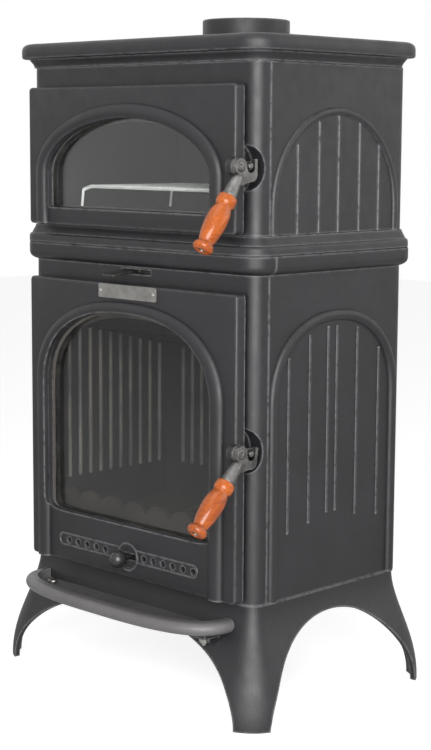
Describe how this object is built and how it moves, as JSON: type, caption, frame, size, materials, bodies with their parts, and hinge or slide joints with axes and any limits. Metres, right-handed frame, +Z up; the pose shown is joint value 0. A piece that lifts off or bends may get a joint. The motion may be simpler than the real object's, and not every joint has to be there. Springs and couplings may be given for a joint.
{
  "type": "cast iron stove with oven",
  "caption": "Freestanding solid-fuel stove: a firebox with an arched glass door, a baking oven above it, lever latches, air slides, an ash lip and a top flue outlet.",
  "frame": {"origin": "on the floor, at the centre of the bounding box", "axes": "+X to the right seen from the front, +Y to the rear, +Z up; the doors face -Y"},
  "size_m": [0.5566, 0.4762, 0.99],
  "materials": {
    "painted_iron": "heat-proof paint over sand-cast iron, satin",
    "inner_iron": "sooted bare casting, matt",
    "lever_steel": "grey satin casting, slightly polished by use",
    "zinc_steel": "bright zinc plate",
    "slide_steel": "mill-finish sheet",
    "lacquered_wood": "turned hardwood, glossy orange-brown lacquer",
    "glass_pane": "clear heat-resistant glass",
    "fibre_rope": "braided glass-fibre rope, matt grey",
    "plate_metal": "satin warm grey, bare",
    "knob_plastic": "black phenolic, glossy",
    "liner_board": "pressed heat-resisting board, matt, sooted"
  },
  "bodies": {
    "root": {"base_frame": "painted_iron", "ash_lip": "painted_iron", "lower_front_frame": "painted_iron", "oven_front_frame": "painted_iron", "lower_side_panel_right": "painted_iron", "lower_side_panel_left": "painted_iron", "oven_side_panel_right": "painted_iron", "oven_side_panel_left": "painted_iron", "lower_back_panel": "painted_iron", "oven_back_panel": "painted_iron", "oven_floor_plate": "painted_iron", "top_plate": "painted_iron", "flue_collar": "painted_iron", "firebox_floor": "inner_iron", "hearth_plate": "inner_iron", "grate": "inner_iron", "log_guard": "inner_iron", "oven_box": "inner_iron", "liner_right": "liner_board", "liner_left": "liner_board", "liner_back": "liner_board", "baffle": "liner_board", "ash_pan": "slide_steel", "ash_lip_bolt_left": "zinc_steel", "ash_lip_bolt_right": "zinc_steel", "oven_rack": "zinc_steel", "oven_keeper_pin": "lever_steel", "firebox_keeper_pin": "lever_steel"},
    "oven_door": {"oven_door": "painted_iron", "oven_glass": "glass_pane", "oven_glass_gasket": "fibre_rope", "oven_glass_retainer": "slide_steel", "oven_door_rope": "fibre_rope", "oven_pivot_bolt": "zinc_steel", "oven_hinge_pin_low": "zinc_steel", "oven_hinge_pin_high": "zinc_steel"},
    "firebox_door": {"firebox_door": "painted_iron", "firebox_glass": "glass_pane", "firebox_glass_gasket": "fibre_rope", "firebox_glass_retainer": "slide_steel", "firebox_door_rope": "fibre_rope", "firebox_pivot_bolt": "zinc_steel", "firebox_hinge_pin_low": "zinc_steel", "firebox_hinge_pin_high": "zinc_steel", "nameplate": "plate_metal", "nameplate_screw_left": "zinc_steel", "nameplate_screw_right": "zinc_steel"},
    "oven_handle": {"oven_lever": "lever_steel", "oven_grip": "lacquered_wood", "oven_grip_screw": "zinc_steel"},
    "firebox_handle": {"firebox_lever": "lever_steel", "firebox_grip": "lacquered_wood", "firebox_grip_screw": "zinc_steel"},
    "airwash_slide": {"airwash_slide": "slide_steel"},
    "primary_air_slide": {"primary_air_slide": "slide_steel", "air_knob": "knob_plastic"}
  },
  "joints": [
    {"name": "oven_door_hinge", "type": "hinge", "parent": "root", "child": "oven_door", "pos_m": [-0.207, -0.12712, 0.786], "axis": [0, 0, -1], "range_deg": [0, 100]},
    {"name": "firebox_door_hinge", "type": "hinge", "parent": "root", "child": "firebox_door", "pos_m": [-0.207, -0.12712, 0.39], "axis": [0, 0, -1], "range_deg": [0, 100]},
    {"name": "oven_handle_pivot", "type": "hinge", "parent": "oven_door", "child": "oven_handle", "pos_m": [0.23275, -0.14462, 0.7767], "axis": [-1, 0, 0], "range_deg": [0, 30]},
    {"name": "firebox_handle_pivot", "type": "hinge", "parent": "firebox_door", "child": "firebox_handle", "pos_m": [0.23725, -0.14392, 0.389], "axis": [-1, 0, 0], "range_deg": [0, 30]},
    {"name": "airwash_travel", "type": "slide", "parent": "root", "child": "airwash_slide", "axis": [1, 0, 0], "range_m": [0, 0.028]},
    {"name": "primary_air_travel", "type": "slide", "parent": "firebox_door", "child": "primary_air_slide", "axis": [1, 0, 0], "range_m": [-0.012, 0.012]}
  ]
}
